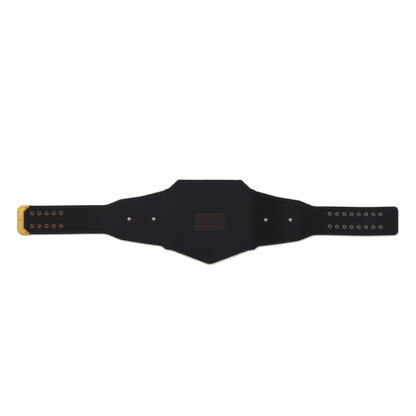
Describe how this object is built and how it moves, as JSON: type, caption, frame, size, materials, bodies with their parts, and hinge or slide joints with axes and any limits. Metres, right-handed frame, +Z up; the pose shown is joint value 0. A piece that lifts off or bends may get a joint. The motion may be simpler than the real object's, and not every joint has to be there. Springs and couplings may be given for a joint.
{
  "type": "championship title belt",
  "caption": "Wide leather title belt with a pointed centre panel, tapering wings, blank metal front plates and a gold tip, closed by rows of snaps at its straight ends.",
  "frame": {"origin": "under the middle of the belt's outer size, on the surface that the belt lies on", "axes": "+X along the belt from the metal tip to the stud end, +Y towards its upper edge, +Z up, out of its back"},
  "size_m": [1.3156, 0.2914, 0.011],
  "materials": {
    "leather": "smooth matt black leather with burnished edges",
    "tip_gold": "brushed gold",
    "plate_gold": "satin gold, darker in the recesses",
    "rivet_bronze": "dull bronze",
    "snap_brass": "antique brass",
    "snap_silver": "aged nickel",
    "screw_silver": "polished nickel"
  },
  "bodies": {
    "root": {"strap": "leather", "tip_cap": "tip_gold", "tip_rivet_1": "rivet_bronze", "tip_rivet_2": "rivet_bronze", "tip_rivet_3": "rivet_bronze", "socket_snap_1": "snap_brass", "socket_snap_2": "snap_brass", "socket_snap_3": "snap_brass", "socket_snap_4": "snap_brass", "socket_snap_5": "snap_brass", "socket_snap_6": "snap_brass", "socket_snap_7": "snap_brass", "socket_snap_8": "snap_brass", "socket_snap_9": "snap_brass", "socket_snap_10": "snap_brass", "stud_snap_1": "snap_silver", "stud_snap_2": "snap_silver", "stud_snap_3": "snap_silver", "stud_snap_4": "snap_silver", "stud_snap_5": "snap_silver", "stud_snap_6": "snap_silver", "stud_snap_7": "snap_silver", "stud_snap_8": "snap_silver", "stud_snap_9": "snap_silver", "stud_snap_10": "snap_silver", "stud_snap_11": "snap_silver", "stud_snap_12": "snap_silver", "stud_snap_13": "snap_silver", "stud_snap_14": "snap_silver", "stud_snap_15": "snap_silver", "stud_snap_16": "snap_silver", "main_plate": "plate_gold", "side_plate_tip_side": "plate_gold", "side_plate_stud_side": "plate_gold", "plate_screw_tip_side_1": "screw_silver", "plate_screw_tip_side_2": "screw_silver", "plate_screw_stud_side_1": "screw_silver", "plate_screw_stud_side_2": "screw_silver"}
  },
  "joints": []
}
